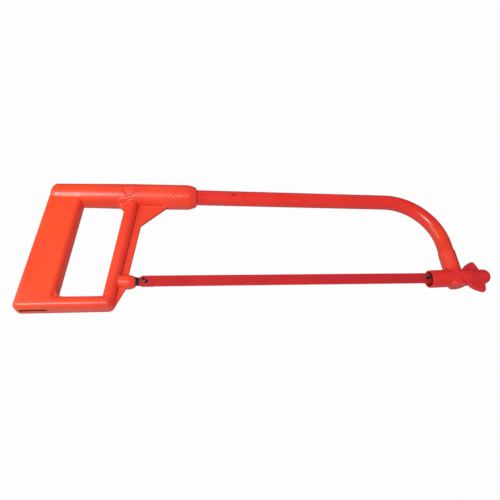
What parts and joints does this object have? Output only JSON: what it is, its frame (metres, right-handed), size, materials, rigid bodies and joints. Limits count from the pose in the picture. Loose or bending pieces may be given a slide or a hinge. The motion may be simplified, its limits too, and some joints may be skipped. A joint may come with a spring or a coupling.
{
  "type": "insulated hacksaw",
  "caption": "Insulated hacksaw with a D-shaped handle, round bent backbone, toothed blade on inclined pegs and a wing-nut tensioner.",
  "frame": {"origin": "under the middle of the saw's bounding box, on the level of the handle's foot, in the backbone's middle plane", "axes": "+X along the blade from the handle to the wing nut, +Z from the blade up to the backbone with the teeth facing down, Y across the saw with the blade pegs standing towards -Y"},
  "size_m": [0.4932, 0.0278, 0.1466],
  "materials": {
    "handle_plastic": "orange-red moulded plastic, semi-gloss",
    "sleeve_plastic": "red insulating sleeve, semi-gloss",
    "block_plastic": "red moulded plastic, semi-gloss",
    "nut_plastic": "red moulded plastic, semi-gloss",
    "blade_paint": "satin crimson paint",
    "black_steel": "black oxide",
    "steel": "bright drawn steel",
    "brass": "turned"
  },
  "bodies": {
    "frame": {"handle": "handle_plastic", "back_tube": "steel", "tube_sleeve": "sleeve_plastic", "tube_plug": "handle_plastic", "handle_pin": "steel", "pin_caps": "handle_plastic", "boss_insert": "brass", "rear_holder": "black_steel", "rear_peg": "black_steel", "front_block": "block_plastic", "guide_bush": "steel", "thrust_washer": "steel"},
    "draw_bolt": {"draw_bolt": "black_steel", "front_peg": "black_steel"},
    "blade": {"blade": "blade_paint"},
    "wing_nut": {"wing_nut": "nut_plastic", "nut_insert": "brass"}
  },
  "joints": [
    {"name": "wing_nut_turn", "type": "hinge", "parent": "frame", "child": "wing_nut", "pos_m": [0.22763, 0, 0.03011], "axis": [0.9994, 0, 0.0349], "range_deg": [0, 2310]},
    {"name": "draw_bolt_slide", "type": "slide", "parent": "frame", "child": "draw_bolt", "axis": [-0.9994, 0, -0.0349], "range_m": [0, 0.008]},
    {"name": "blade_swing", "type": "hinge", "parent": "draw_bolt", "child": "blade", "pos_m": [0.17165, 0, 0.0292], "axis": [0, 0, 1], "range_deg": [0, 4.1]}
  ],
  "couplings": [
    {"joint": "wing_nut_turn", "follows": "draw_bolt_slide", "rad_per_m": 5026.5},
    {"joint": "blade_swing", "follows": "draw_bolt_slide", "rad_per_m": 8.7719}
  ]
}
